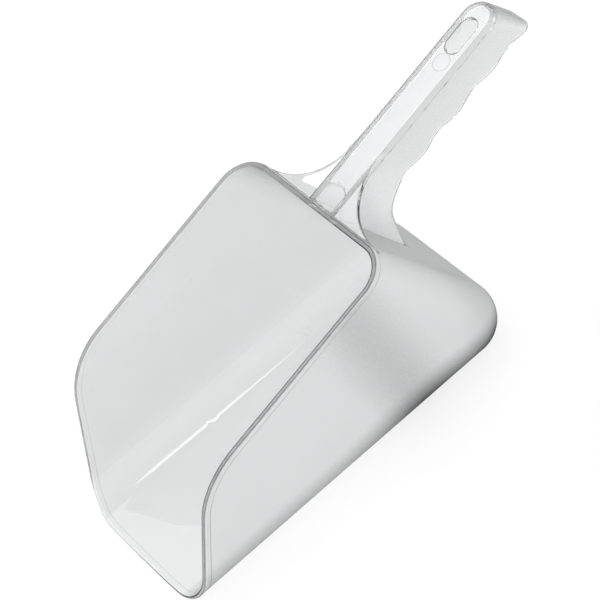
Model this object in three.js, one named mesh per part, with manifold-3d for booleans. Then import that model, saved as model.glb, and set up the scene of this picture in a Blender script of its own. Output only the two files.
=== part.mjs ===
// Feed scoop: a clear moulded bowl with a sloping rim, an open front and a channel handle
// that carries on the line of the rim. Millimetres, +Z up, the flat floor rests on Z = 0,
// +Y runs back along the handle and the lip faces -Y.
import * as THREE from 'three';
import { mergeVertices } from 'three/addons/utils/BufferGeometryUtils.js';
import { ConvexGeometry } from 'three/addons/geometries/ConvexGeometry.js';
import Module from 'manifold-3d';

const wasm = await Module();
wasm.setup();

const radians = THREE.MathUtils.degToRad;

// Wall and clearances
const wall = 2.3;
const seam = 0.3;
const overrun = 12;

// Bowl outside
const rimWidth = 122.9;
const floorWidth = 105.5;
const rimHeight = 119.1;
const backReach = 64.5;
const floorReach = 170.7;
const rimTilt = radians(14.9);
const floorCornerRadius = 20.8;
const rimCornerRadius = 18.5;
const backCornerDepth = 25.4;

// Front opening, seen from the side
const shoulderReach = 136.4;
const shoulderRadius = 45;
const frontLean = radians(19.8);
const footRadius = 18;

// Lip, seen from above
const lipCornerRadius = 28.5;
const lipSideRoom = 0.2;
const lipDepth = 34;
const lipThickness = 1.3;

// Rim bead
const beadHeight = 4.1;
const beadProud = 0.3;
const beadFootHeight = 1.8;

// Handle channel, along the line of the rim
const handleTopDrop = 3.6;
const handleWidth = 21;
const handleLength = 132.2;
const plateThickness = 2.7;
const plateEdgeRadius = 2.2;
const webThickness = 2.9;
const endCornerRadius = 8;
const endLean = radians(17);
const endFootRadius = 6;

// Finger scallops along the lower edges of the webs
const webDepthAtBumps = 24.4;
const scallopDepth = 2.8;
const scallopPitch = 27.3;
const firstScallop = 122.5;

// Neck
const neckLength = 41;
const neckDepth = 62;
const neckCurveReach = 11;
const neckCurveRise = 18.5;
const gussetReach = 34;
const gussetHalfSpan = 48;
const coveReach = 16;
const coveDepth = 2.4;
const coveCornerRadius = 7;

// Hang slot through the top plate
const slotLength = 21.5;
const slotWidth = 10.4;
const slotEndMargin = 10.3;
const slotCollar = 1.6;

// Facet counts
const ballSides = 32;
const ballRings = 16;
const arcSteps = 12;
const scallopSteps = 40;
const cornerSteps = 8;

// Materials
const clearPlastic = new THREE.MeshStandardMaterial({ color: 0xe4e7e8, roughness: 0.08, metalness: 0 });
const frostedPlastic = new THREE.MeshStandardMaterial({ color: 0xd3d6d7, roughness: 0.5, metalness: 0 });

// Solids and booleans
function toSolid(geometry) {
  const bare = geometry.clone();
  bare.deleteAttribute('normal');
  bare.deleteAttribute('uv');
  const merged = mergeVertices(bare);
  const vertProperties = new Float32Array(merged.attributes.position.array);
  const triVerts = new Uint32Array(merged.index.array);
  return new wasm.Manifold(new wasm.Mesh({ numProp: 3, vertProperties, triVerts }));
}

function toMesh(name, solid, material) {
  const shape = solid.getMesh();
  const geometry = new THREE.BufferGeometry();
  const positions = new Float32Array(shape.vertProperties);
  geometry.setAttribute('position', new THREE.BufferAttribute(positions, 3));
  geometry.setIndex(new THREE.BufferAttribute(new Uint32Array(shape.triVerts), 1));
  geometry.computeVertexNormals();
  const mesh = new THREE.Mesh(geometry, material);
  mesh.name = name;
  return mesh;
}

// A closed outline in (Y, Z), carried along X from one place to another
function alongX(outline, xLow, xHigh) {
  const shape = new THREE.Shape(outline);
  const geometry = new THREE.ExtrudeGeometry(shape, { depth: xHigh - xLow, bevelEnabled: false });
  const turn = new THREE.Matrix4().makeBasis(
    new THREE.Vector3(0, 1, 0),
    new THREE.Vector3(0, 0, 1),
    new THREE.Vector3(1, 0, 0),
  );
  geometry.applyMatrix4(turn);
  geometry.translate(xLow, 0, 0);
  return toSolid(geometry);
}

// A closed plan shape in (X, Y), carried along Z from one height to another
function alongZ(shape, zLow, zHigh) {
  const geometry = new THREE.ExtrudeGeometry(shape, {
    depth: zHigh - zLow,
    bevelEnabled: false,
    curveSegments: arcSteps,
  });
  geometry.translate(0, 0, zLow);
  return toSolid(geometry);
}

// A closed outline in (X, Z), carried along Y from one place to another
function alongY(shape, yLow, yHigh) {
  const geometry = new THREE.ExtrudeGeometry(shape, {
    depth: yHigh - yLow,
    bevelEnabled: false,
    curveSegments: cornerSteps,
  });
  geometry.rotateX(Math.PI / 2);
  geometry.translate(0, yHigh, 0);
  return toSolid(geometry);
}

// Side view geometry of the bowl, as (Y, Z) vectors
const rimAlong = new THREE.Vector2(Math.cos(rimTilt), Math.sin(rimTilt));
const rimUp = new THREE.Vector2(-Math.sin(rimTilt), Math.cos(rimTilt));
const rimBack = new THREE.Vector2(0, rimHeight);
const backLean = Math.atan2(backReach, rimHeight);
const sideDraft = Math.atan2((rimWidth - floorWidth) / 2, rimHeight);

function besideRim(along, up) {
  return rimBack.clone().addScaledVector(rimAlong, along).addScaledVector(rimUp, up);
}

// The bowl without its opening: the hull of eight balls, four along the floor and four on the
// rim plane. A larger or smaller offset swells or shrinks every ball alike.
function ballPoints(x, y, z, radius) {
  const ball = new THREE.SphereGeometry(radius, ballSides, ballRings);
  ball.rotateX(Math.PI / 2);
  ball.translate(x, y, z);
  const place = ball.attributes.position;
  const points = [];
  for (let i = 0; i < place.count; i += 1) {
    points.push(new THREE.Vector3().fromBufferAttribute(place, i));
  }
  return points;
}

function tub(offset) {
  const low = floorCornerRadius;
  const high = rimCornerRadius;
  const lowX = floorWidth / 2 + low * Math.tan(sideDraft) - low / Math.cos(sideDraft);
  const lowY = backReach - low * Math.tan(backLean) - low / Math.cos(backLean);
  const highX = rimWidth / 2 - high;
  const highBack = besideRim(-high / Math.cos(backLean - rimTilt), 0);
  const frontY = -(floorReach + overrun + low);
  const highFront = besideRim(frontY / Math.cos(rimTilt), 0);
  const points = [];
  for (const side of [-1, 1]) {
    points.push(...ballPoints(side * lowX, lowY, low, low + offset));
    points.push(...ballPoints(side * lowX, frontY, low, low + offset));
    points.push(...ballPoints(side * highX, highBack.x, highBack.y, high + offset));
    points.push(...ballPoints(side * highX, highFront.x, highFront.y, high + offset));
  }
  return toSolid(new ConvexGeometry(points));
}

// The edge of the opening: from the back rim forward, over the shoulder, down the front and
// round a hollow foot that runs out along the floor. Each point is moved square to the edge,
// into the wall, by an inset that narrows from the shoulder to the foot and ends at nothing.
const shoulderPoint = new THREE.Vector2(-shoulderReach, rimHeight - shoulderReach * Math.tan(rimTilt));
const frontDown = new THREE.Vector2(-Math.sin(frontLean), -Math.cos(frontLean));
const frontInward = new THREE.Vector2(Math.cos(frontLean), -Math.sin(frontLean));
const shoulderTurn = Math.PI / 2 - frontLean - rimTilt;
const shoulderTangent = shoulderRadius * Math.tan(shoulderTurn / 2);
const footTurn = Math.PI / 2 - frontLean;
const footTangent = footRadius * Math.tan(footTurn / 2);
const frontLength = shoulderPoint.y / Math.cos(frontLean);
const footStart = shoulderPoint.clone().addScaledVector(frontDown, frontLength - footTangent);
const footCentre = footStart.clone().addScaledVector(frontInward, -footRadius);

function edgePath(insetAtRim, insetAtFoot, behind) {
  const path = [besideRim(behind, -insetAtRim)];
  const arcStart = shoulderPoint.clone().addScaledVector(rimAlong, shoulderTangent);
  const centre = arcStart.clone().addScaledVector(rimUp, -shoulderRadius);
  for (let i = 0; i <= arcSteps; i += 1) {
    const turned = shoulderTurn * (i / arcSteps);
    const outward = rimUp.clone().rotateAround(new THREE.Vector2(), turned);
    path.push(centre.clone().addScaledVector(outward, shoulderRadius - insetAtRim));
  }
  for (let i = 0; i <= arcSteps; i += 1) {
    const turned = -footTurn * (i / arcSteps);
    const inset = insetAtFoot * (1 - i / arcSteps);
    const inward = frontInward.clone().rotateAround(new THREE.Vector2(), turned);
    path.push(footCentre.clone().addScaledVector(inward, footRadius + inset));
  }
  return path;
}

// The part of the side view that the bowl fills below an edge path
function sideProfile(insetAtRim, insetAtFoot) {
  return [
    ...edgePath(insetAtRim, insetAtFoot, backReach + overrun),
    new THREE.Vector2(-(floorReach + overrun), 0),
    new THREE.Vector2(-(floorReach + overrun), -overrun),
    new THREE.Vector2(backReach + overrun, -overrun),
  ];
}

// The lip seen from above, with round corners that sweep back just outside the side walls
const lipHalf = Math.max(rimWidth, floorWidth) / 2 + lipSideRoom;
const lipFlatHalf = lipHalf - lipCornerRadius;

function lipPlan() {
  const shape = new THREE.Shape();
  const centreY = -floorReach + lipCornerRadius;
  shape.moveTo(rimWidth, centreY);
  shape.lineTo(rimWidth, backReach + overrun);
  shape.lineTo(-rimWidth, backReach + overrun);
  shape.lineTo(-rimWidth, centreY);
  shape.lineTo(-lipHalf, centreY);
  shape.absarc(-lipFlatHalf, centreY, lipCornerRadius, Math.PI, Math.PI * 1.5, false);
  shape.absarc(lipFlatHalf, centreY, lipCornerRadius, Math.PI * 1.5, Math.PI * 2, false);
  shape.closePath();
  return shape;
}

// The lip thins forward: this block takes the inside of the floor away down a slope
function lipTaper() {
  const start = -(floorReach - lipDepth);
  const slope = (wall - lipThickness) / lipDepth;
  const outline = [
    new THREE.Vector2(start, wall),
    new THREE.Vector2(start, wall + overrun),
    new THREE.Vector2(-(floorReach + overrun), wall + overrun),
    new THREE.Vector2(-(floorReach + overrun), wall - slope * (lipDepth + overrun)),
  ];
  return alongX(outline, -lipFlatHalf, lipFlatHalf);
}

const outside = tub(0);
const inside = tub(-wall);
const beadOutside = tub(beadProud);
const plan = alongZ(lipPlan(), -overrun, rimHeight + overrun);
const belowBead = alongX(sideProfile(beadHeight + seam, beadFootHeight + seam), -rimWidth, rimWidth);
const cup = outside.subtract(inside).intersect(belowBead).intersect(plan).subtract(lipTaper());

// Where the bowl divides: beside the flat of the floor, above the floor's round edge, and
// along a line parallel to the back wall, in front of its round corners
const splitX = floorWidth / 2 - floorCornerRadius;
const sideSplitZ = floorCornerRadius;
const lipSplitY = -(floorReach - lipDepth);
const farAbove = rimHeight + overrun;

function backLine(height, forward) {
  return backReach - height * Math.tan(backLean) - forward / Math.cos(backLean);
}

function point(y, z) {
  return new THREE.Vector2(y, z);
}

const halfSeam = seam / 2;
const inFront = -(floorReach + overrun);
const behindAll = backReach + overrun;

function inFrontOfCorner(zLow, zHigh, yFront) {
  return [
    point(yFront, zLow),
    point(backLine(zLow, backCornerDepth + halfSeam), zLow),
    point(backLine(zHigh, backCornerDepth + halfSeam), zHigh),
    point(yFront, zHigh),
  ];
}

function behindCornerLine(zLow, zHigh) {
  return [
    point(backLine(zLow, backCornerDepth - halfSeam), zLow),
    point(behindAll, zLow),
    point(behindAll, zHigh),
    point(backLine(zHigh, backCornerDepth - halfSeam), zHigh),
  ];
}

function zone(source, outline, xLow, xHigh) {
  return source.intersect(alongX(outline, xLow, xHigh));
}

const scoop = new THREE.Group();
const bowl = new THREE.Group();
scoop.add(bowl);

// Floor, lip and round edges of the floor
const floorZone = inFrontOfCorner(-overrun, sideSplitZ - halfSeam, lipSplitY + halfSeam);
const lipZone = [
  point(inFront, -overrun),
  point(lipSplitY - halfSeam, -overrun),
  point(lipSplitY - halfSeam, sideSplitZ - halfSeam),
  point(inFront, sideSplitZ - halfSeam),
];
const lowZone = inFrontOfCorner(-overrun, sideSplitZ - halfSeam, inFront);
const lowBackZone = behindCornerLine(-overrun, sideSplitZ - halfSeam);
const highBackZone = behindCornerLine(sideSplitZ + halfSeam, farAbove);
const wallZone = inFrontOfCorner(sideSplitZ + halfSeam, farAbove, inFront);
const cornerZone = behindCornerLine(-overrun, farAbove);
const innerX = splitX - halfSeam;
const outerX = splitX + halfSeam;

bowl.add(toMesh('floor_panel', zone(cup, floorZone, -innerX, innerX), frostedPlastic));
bowl.add(toMesh('lip_edge', zone(cup, lipZone, -innerX, innerX), clearPlastic));
bowl.add(toMesh('back_floor_edge', zone(cup, lowBackZone, -innerX, innerX), frostedPlastic));
bowl.add(toMesh('back_wall', zone(cup, highBackZone, -innerX, innerX), frostedPlastic));

for (const [name, low, high] of [['left', -rimWidth, -outerX], ['right', outerX, rimWidth]]) {
  bowl.add(toMesh(name + '_floor_edge', zone(cup, lowZone, low, high), frostedPlastic));
  bowl.add(toMesh(name + '_side_wall', zone(cup, wallZone, low, high), frostedPlastic));
  bowl.add(toMesh(name + '_back_corner', zone(cup, cornerZone, low, high), frostedPlastic));
}

// Rim bead: the band between the edge of the opening and its inset, standing proud outside
const shell = beadOutside.subtract(inside).intersect(plan);
const bandOutline = [
  ...edgePath(0, 0, behindAll),
  ...edgePath(beadHeight, beadFootHeight, behindAll).reverse(),
];
const band = shell.intersect(alongX(bandOutline, -rimWidth, rimWidth));
const shoulderY = shoulderPoint.x + shoulderTangent;
const railZone = [
  point(shoulderY + halfSeam, -overrun),
  point(backLine(farAbove, backCornerDepth + halfSeam), -overrun),
  point(backLine(farAbove, backCornerDepth + halfSeam), farAbove),
  point(shoulderY + halfSeam, farAbove),
];
const edgeZone = [
  point(inFront, -overrun),
  point(shoulderY - halfSeam, -overrun),
  point(shoulderY - halfSeam, farAbove),
  point(inFront, farAbove),
];
const rimCornerZone = [
  point(backLine(farAbove, backCornerDepth - halfSeam), -overrun),
  point(behindAll, -overrun),
  point(behindAll, farAbove),
  point(backLine(farAbove, backCornerDepth - halfSeam), farAbove),
];
bowl.add(toMesh('rim_back_bead', zone(band, rimCornerZone, -innerX, innerX), clearPlastic));
for (const [name, low, high] of [['left', -rimWidth, -outerX], ['right', outerX, rimWidth]]) {
  bowl.add(toMesh(name + '_rim_corner', zone(band, rimCornerZone, low, high), clearPlastic));
  bowl.add(toMesh(name + '_rim_rail', zone(band, railZone, low, high), clearPlastic));
  bowl.add(toMesh(name + '_front_edge', zone(band, edgeZone, low, high), clearPlastic));
}

// Handle frame: Y runs back from the rim along the handle and Z is square to the rim plane
const handle = new THREE.Group();
handle.position.set(0, 0, rimHeight);
handle.rotation.x = rimTilt;
scoop.add(handle);
handle.updateMatrix();
const clearOfBowl = tub(beadProud + seam);
const bowlInHandle = clearOfBowl.transform(handle.matrix.clone().invert().elements);

const plateTop = -handleTopDrop;
const plateUnder = plateTop - plateThickness;
const webTop = plateUnder - seam;
const handleHalf = handleWidth / 2;
const channelHalf = handleHalf - webThickness;
const webFoot = plateTop - webDepthAtBumps;

// The top plate: a strip with rounded upper edges, rounded ends and the hang slot
function plateSection() {
  const shape = new THREE.Shape();
  const edgeX = handleHalf - plateEdgeRadius;
  const edgeZ = plateTop - plateEdgeRadius;
  shape.moveTo(-handleHalf, plateUnder);
  shape.lineTo(handleHalf, plateUnder);
  shape.lineTo(handleHalf, edgeZ);
  shape.absarc(edgeX, edgeZ, plateEdgeRadius, 0, Math.PI / 2, false);
  shape.absarc(-edgeX, edgeZ, plateEdgeRadius, Math.PI / 2, Math.PI, false);
  shape.closePath();
  return shape;
}

function roundEnded(halfWidth, yLow, yHigh, radius) {
  const shape = new THREE.Shape();
  shape.moveTo(-halfWidth, yLow);
  shape.lineTo(halfWidth, yLow);
  shape.lineTo(halfWidth, yHigh - radius);
  shape.absarc(halfWidth - radius, yHigh - radius, radius, 0, Math.PI / 2, false);
  shape.absarc(-halfWidth + radius, yHigh - radius, radius, Math.PI / 2, Math.PI, false);
  shape.closePath();
  return shape;
}

function slotShape(grow) {
  const radius = slotWidth / 2 + grow;
  const back = handleLength - slotEndMargin - slotWidth / 2;
  const front = handleLength - slotEndMargin - slotLength + slotWidth / 2;
  const shape = new THREE.Shape();
  shape.moveTo(radius, front);
  shape.lineTo(radius, back);
  shape.absarc(0, back, radius, 0, Math.PI, false);
  shape.lineTo(-radius, front);
  shape.absarc(0, front, radius, Math.PI, Math.PI * 2, false);
  shape.closePath();
  return shape;
}

const platePlan = alongZ(roundEnded(handleHalf, -overrun, handleLength, endCornerRadius), webFoot, overrun);
const plate = alongY(plateSection(), 0, handleLength)
  .intersect(platePlan)
  .subtract(bowlInHandle)
  .subtract(alongZ(slotShape(slotCollar), plateUnder - overrun, overrun));
handle.add(toMesh('handle_top_plate', plate, clearPlastic));

// The collar round the hang slot fills the plate's opening up to the slot itself
const collar = alongZ(slotShape(slotCollar - seam), plateUnder, plateTop)
  .subtract(alongZ(slotShape(0), plateUnder - overrun, overrun));
handle.add(toMesh('hang_slot_collar', collar, clearPlastic));

// Lower edge of the webs: finger scallops, then a curve down the back wall
function scallopHeight(y) {
  const phase = ((y - firstScallop) / scallopPitch) * 2 * Math.PI;
  return webFoot + (scallopDepth * (1 + Math.cos(phase))) / 2;
}

const gripFront = neckLength;
const gripBack = handleLength - endCornerRadius - seam;

function gripOutline() {
  const outline = [point(gripBack, webTop), point(gripFront + halfSeam, webTop)];
  for (let i = 0; i <= scallopSteps; i += 1) {
    const y = gripFront + halfSeam + (gripBack - gripFront - halfSeam) * (i / scallopSteps);
    outline.push(point(y, scallopHeight(y)));
  }
  return outline;
}

function neckOutline() {
  const footY = neckDepth * Math.tan(backLean - rimTilt);
  const outline = [point(gripFront - halfSeam, webTop), point(-overrun, webTop), point(-overrun, -neckDepth)];
  const startZ = scallopHeight(gripFront);
  outline.push(point(footY, -neckDepth));
  const curve = new THREE.CubicBezierCurve(
    point(footY, -neckDepth),
    point(footY, neckCurveRise - neckDepth),
    point(gripFront - neckCurveReach, startZ),
    point(gripFront - halfSeam, startZ),
  );
  outline.push(...curve.getPoints(arcSteps).slice(1));
  return outline;
}

for (const [name, side] of [['left', -1], ['right', 1]]) {
  const xLow = side < 0 ? -handleHalf : channelHalf;
  const xHigh = side < 0 ? -channelHalf : handleHalf;
  const grip = alongX(gripOutline(), xLow, xHigh);
  handle.add(toMesh(name + '_grip_web', grip, frostedPlastic));
  const neck = alongX(neckOutline(), xLow, xHigh).subtract(bowlInHandle);
  handle.add(toMesh(name + '_neck_web', neck, frostedPlastic));
}

// Gussets: flat wings beside the plate with a hollow curved edge that reaches along the rim
function gussetShape(side) {
  const start = handleHalf + seam;
  const spanX = gussetHalfSpan - start;
  const shape = new THREE.Shape();
  shape.moveTo(side * start, -overrun);
  shape.lineTo(side * start, gussetReach);
  for (let i = 1; i <= arcSteps; i += 1) {
    const turned = (Math.PI / 2) * (i / arcSteps);
    const x = gussetHalfSpan - spanX * Math.cos(turned);
    const y = gussetReach - gussetReach * Math.sin(turned);
    shape.lineTo(side * x, y);
  }
  shape.lineTo(side * gussetHalfSpan, -overrun);
  shape.closePath();
  return shape;
}

for (const [name, side] of [['left', -1], ['right', 1]]) {
  const wing = alongZ(gussetShape(side), plateUnder, plateTop).subtract(bowlInHandle);
  handle.add(toMesh(name + '_neck_gusset', wing, clearPlastic));
}

// End wall: a rounded wall that closes the channel, leaning out towards its foot
const endFront = gripBack + seam;

function endHull(halfWidth, length, radius, zTop, zFoot) {
  const points = [];
  for (const z of [zTop, zFoot]) {
    const shift = (plateUnder - z) * Math.tan(endLean);
    for (const spot of roundEnded(halfWidth, endFront, length, radius).getPoints(cornerSteps)) {
      const y = spot.y > endFront ? spot.y + shift : spot.y;
      points.push(new THREE.Vector3(spot.x, y, z));
    }
  }
  return toSolid(new ConvexGeometry(points));
}

function endSide() {
  const footY = handleLength + (webTop - webFoot) * Math.tan(endLean);
  const shape = new THREE.Shape();
  shape.moveTo(endFront, overrun);
  shape.lineTo(endFront, webFoot);
  shape.lineTo(footY - endFootRadius, webFoot);
  shape.absarc(footY - endFootRadius, webFoot + endFootRadius, endFootRadius, -Math.PI / 2, 0, false);
  shape.lineTo(footY, overrun);
  shape.closePath();
  return shape.getPoints(cornerSteps);
}

const endOuter = endHull(handleHalf, handleLength, endCornerRadius, webTop, webFoot);
const endInner = endHull(
  channelHalf,
  handleLength - webThickness,
  endCornerRadius - webThickness,
  webTop + overrun,
  webFoot - overrun,
);
const endWall = endOuter.subtract(endInner).intersect(alongX(endSide(), -handleWidth, handleWidth));
handle.add(toMesh('handle_end_wall', endWall, frostedPlastic));

// Cove: an arched thickening under the plate, in the corner between the plate and the back wall
const covePlan = roundEnded(channelHalf - seam, -overrun, coveReach, coveCornerRadius);
const cove = alongZ(covePlan, webTop - coveDepth, webTop).subtract(bowlInHandle);
handle.add(toMesh('neck_cove', cove, clearPlastic));

// The origin goes to the middle of the whole length, on the floor
scoop.updateMatrixWorld(true);
const box = new THREE.Box3().setFromObject(scoop, true);
scoop.position.y = -(box.min.y + box.max.y) / 2;

export default scoop;
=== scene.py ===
from math import atan2, cos, hypot, pi, radians, sin, tan
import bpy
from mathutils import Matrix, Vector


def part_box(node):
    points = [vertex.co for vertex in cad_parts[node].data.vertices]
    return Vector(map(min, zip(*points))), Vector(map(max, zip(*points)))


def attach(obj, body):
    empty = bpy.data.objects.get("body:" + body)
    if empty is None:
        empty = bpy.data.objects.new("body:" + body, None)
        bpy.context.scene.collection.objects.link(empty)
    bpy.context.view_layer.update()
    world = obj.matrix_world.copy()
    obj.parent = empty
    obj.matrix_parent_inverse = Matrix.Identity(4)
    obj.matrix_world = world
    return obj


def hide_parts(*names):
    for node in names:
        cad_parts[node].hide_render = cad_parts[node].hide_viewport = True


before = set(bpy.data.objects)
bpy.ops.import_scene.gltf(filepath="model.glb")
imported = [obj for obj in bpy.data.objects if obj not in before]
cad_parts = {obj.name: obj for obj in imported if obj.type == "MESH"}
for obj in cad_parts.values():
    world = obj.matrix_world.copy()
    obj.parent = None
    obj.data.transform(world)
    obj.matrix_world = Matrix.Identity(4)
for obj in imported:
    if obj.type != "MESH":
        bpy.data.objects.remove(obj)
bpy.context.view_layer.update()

from types import SimpleNamespace

import bpy
import numpy as np
from bpy.props import FloatProperty, FloatVectorProperty, PointerProperty
from mathutils import Matrix, Vector

bl_info = {
    "name": "Clear scoop",
    "version": (1, 0, 0),
    "blender": (4, 5, 0),
    "location": "3D View > Sidebar > Scoop",
    "description": "Builds a clear moulded scoop with a channel handle",
    "category": "Add Mesh",
}

MM = 0.001  # metres in a millimetre; the shapes below are worked out in millimetres
NODES = sorted(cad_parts)


# Sizes


def length(name, default, text):
    """A size in metres."""
    return FloatProperty(name=name, description=text, default=default, subtype="DISTANCE", precision=5)


def angle(name, degrees, text):
    """An angle, given in degrees."""
    return FloatProperty(name=name, description=text, default=radians(degrees), subtype="ANGLE")


class ScoopSizes(bpy.types.PropertyGroup):
    rim_width: length("Rim width", 0.1229, "Outside width of the bowl at its rim")
    floor_width: length("Floor width", 0.1055, "Width where the side walls would meet the floor")
    rim_height: length("Rim height", 0.1191, "Height of the rim at the back wall")
    back_reach: length("Back reach", 0.0645, "How far the floor reaches behind the back of the rim")
    floor_reach: length("Floor reach", 0.1707, "How far the lip is in front of the back of the rim")
    rim_tilt: angle("Rim tilt", 14.9, "Slope of the rim down to the front")
    floor_radius: length("Floor corner", 0.0208, "Radius between floor and walls")
    rim_radius: length("Rim corner", 0.0185, "Radius of the rim's back corners seen from above")
    wall: length("Wall", 0.0023, "Wall thickness")
    lip: length("Lip", 0.0013, "Thickness of the floor at the lip")
    lip_depth: length("Lip depth", 0.034, "Length over which the floor thins to the lip")
    shoulder_reach: length("Shoulder reach", 0.1364, "Where front edge and rim would meet")
    shoulder_radius: length("Shoulder radius", 0.045, "Round between front edge and rim")
    front_lean: angle("Front lean", 19.8, "Lean of the front edges from upright")
    bead_height: length("Bead height", 0.0041, "Height of the bead below the rim")
    bead_proud: length("Bead depth", 0.0003, "How far the bead stands out of the wall")
    handle_width: length("Handle width", 0.021, "Outside width of the handle")
    handle_length: length("Handle length", 0.1322, "From the rim to the handle's end, along its top")
    handle_drop: length("Handle drop", 0.0036, "How far the handle's top lies under the rim's plane")
    plate: length("Plate", 0.0027, "Thickness of the handle's top")
    web: length("Web", 0.0029, "Thickness of the handle's side webs")
    end_lean: angle("End lean", 17, "Lean of the handle's end wall")
    slot_width: length("Slot width", 0.0104, "Width of the slot for hanging")
    slot_length: length("Slot length", 0.0215, "Length of the slot for hanging")


class ScoopLooks(bpy.types.PropertyGroup):
    tint: FloatVectorProperty(
        name="Tint", description="Colour of the clear plastic", subtype="COLOR",
        size=3, min=0, max=1, default=(0.935, 0.94, 0.943))


def form():
    """The sizes in millimetres and what follows from them. The origin lies in the plane of the
    floor's underside, below the back of the rim, and the shift moves it to the row frame.
    """
    group = bpy.context.scene.scoop_sizes
    s = SimpleNamespace()
    for key, prop in group.bl_rna.properties.items():
        if prop.type == "FLOAT":
            value = getattr(group, key)
            setattr(s, key, value if prop.subtype == "ANGLE" else value / MM)
    s.slope = tan(s.rim_tilt)
    s.half = s.rim_width / 2
    s.back_lean = atan2(s.back_reach, s.rim_height)
    s.rise = s.back_lean - s.rim_tilt
    draft = atan2(s.half - s.floor_width / 2, s.rim_height)
    r = s.floor_radius
    s.xc = s.floor_width / 2 + r * tan(draft) - r / cos(draft)
    s.yc = s.back_reach - r * tan(s.back_lean) - r / cos(s.back_lean)
    s.hx = s.half - s.rim_radius
    s.hb = s.rim_radius / cos(s.rise)
    s.hy = -s.hb * cos(s.rim_tilt)
    s.hz = s.rim_height - s.hb * sin(s.rim_tilt)
    s.front = -s.floor_reach
    s.map_b = (s.front - s.hy) / (s.front - s.yc)
    s.map_a = s.front * (1 - s.map_b)
    s.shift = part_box("lip_edge")[0].y / MM + s.floor_reach
    return s


def handle_point(s, x, y, z):
    """From the handle's frame (origin at the back of the rim, y along the rim's slope, z square to
    it) to upright millimetres.
    """
    c, n = cos(s.rim_tilt), sin(s.rim_tilt)
    x, y, z = np.broadcast_arrays(*(np.asarray(a, float) for a in (x, y, z)))
    return np.stack([x, y * c - z * n, y * n + z * c + s.rim_height], -1)


# Meshes


def ease(x, a, b):
    """0 below a, 1 above b and a smooth step between."""
    t = np.clip((np.asarray(x, float) - a) / (b - a), 0, 1)
    return t * t * (3 - 2 * t)


def strips(columns):
    """Quads between neighbouring columns of vertex numbers; where two numbers are the same it gives
    a triangle.
    """
    faces = []
    for a, b in zip(columns[:-1], columns[1:]):
        n = min(len(a), len(b))
        a, b = np.asarray(a[:n]), np.asarray(b[:n])
        quads = np.stack([a[:-1], a[1:], b[1:], b[:-1]], 1)
        faces += [list(dict.fromkeys(q)) for q in quads.tolist()]
    return [f for f in faces if len(f) > 2]


def mirrored(points, faces, marks):
    """The shape and its mirror image in x = 0, sharing the vertices that lie there."""
    points = np.asarray(points)
    middle = np.abs(points[:, 0]) < 1e-7
    points[middle, 0] = 0
    other = np.where(middle, np.arange(len(points)), len(points) + np.cumsum(~middle) - 1)
    twin = points[~middle] * (-1, 1, 1)
    flipped = [[int(other[i]) for i in reversed(f)] for f in faces]
    return np.vstack([points, twin]), faces + flipped, np.concatenate([marks, marks[~middle]])


def mesh_of(name, points, faces, s, marks=None):
    """A mesh object with these points, moved to the row frame and turned so that its faces look
    outwards. marks holds frost, and the line and shade that place painted shade, for each point; a face
    takes the smallest of its points.
    """
    me = bpy.data.meshes.new(name)
    me.from_pydata(((points + (0, s.shift, 0)) * MM).tolist(), [], faces)
    kinds = np.zeros((len(faces), 3))
    if marks is not None:
        kinds = marks[np.array([(f + f[-1:] * 2)[:4] for f in faces])].min(1)
    for i, key in enumerate(("frost", "line", "shade")):
        me.attributes.new(key, "FLOAT", "FACE").data.foreach_set("value", kinds[:, i])
    ob = bpy.data.objects.new(name, me)
    bpy.context.scene.collection.objects.link(ob)
    me.calc_loop_triangles()
    tri = np.zeros(len(me.loop_triangles) * 3, np.int32)
    me.loop_triangles.foreach_get("vertices", tri)
    co = np.zeros(len(me.vertices) * 3)
    me.vertices.foreach_get("co", co)
    a, b, c = (co.reshape(-1, 3)[tri.reshape(-1, 3)[:, i]] for i in range(3))
    if np.einsum("ij,ij->i", a, np.cross(b, c)).sum() < 0:
        me.flip_normals()
    return ob


# Bowl


def wall_line(s, p, off=0.0):
    """Height and place of the rim over p, and the angle at which the wall's line leaves the round at
    its foot: the tangent from the rim to that round.
    """
    y_rim = s.map_a + s.map_b * p
    z_rim = s.rim_height + s.slope * y_rim
    a, b = s.half - off - s.xc, z_rim - s.floor_radius
    turn = np.arctan2(b, a) - np.arccos((s.floor_radius - off) / np.hypot(a, b))
    return y_rim, z_rim, turn


def side_point(s, p, q, off):
    """The bowl beside the middle: p is how far back the floor's point is, q the way from the middle
    line, out over the floor, round the corner and up the wall. Each wall line leans, because the
    rim's line is shorter than the floor's. off is how far inside the outer face.
    """
    r = s.floor_radius - off
    y_rim, z_rim, turn = wall_line(s, p, off)
    arc = s.floor_radius * (pi / 2 + turn)
    ang = np.clip((q - s.xc) / s.floor_radius - pi / 2, -pi / 2, turn)
    low = np.stack([s.xc + r * np.cos(ang), p, s.floor_radius + r * np.sin(ang)], -1)
    low[..., 0] = np.where(q < s.xc, q, low[..., 0])
    high = np.stack([s.half - off + 0 * p, y_rim, z_rim], -1)
    t = np.clip((q - s.xc - arc) / (wall_end(s, p) - s.xc - arc), 0, None)[..., None]
    return low + (high - low) * t


def wall_end(s, p):
    """q at the rim."""
    y_rim, z_rim, turn = wall_line(s, p)
    r = s.floor_radius
    dx, dy, dz = s.half - s.xc - r * np.cos(turn), y_rim - p, z_rim - r - r * np.sin(turn)
    return s.xc + r * (pi / 2 + turn) + np.sqrt(dx * dx + dy * dy + dz * dz)


def arc_end(s, p):
    """q where the round between floor and wall ends."""
    return s.xc + s.floor_radius * (pi / 2 + wall_line(s, p)[2])


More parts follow.
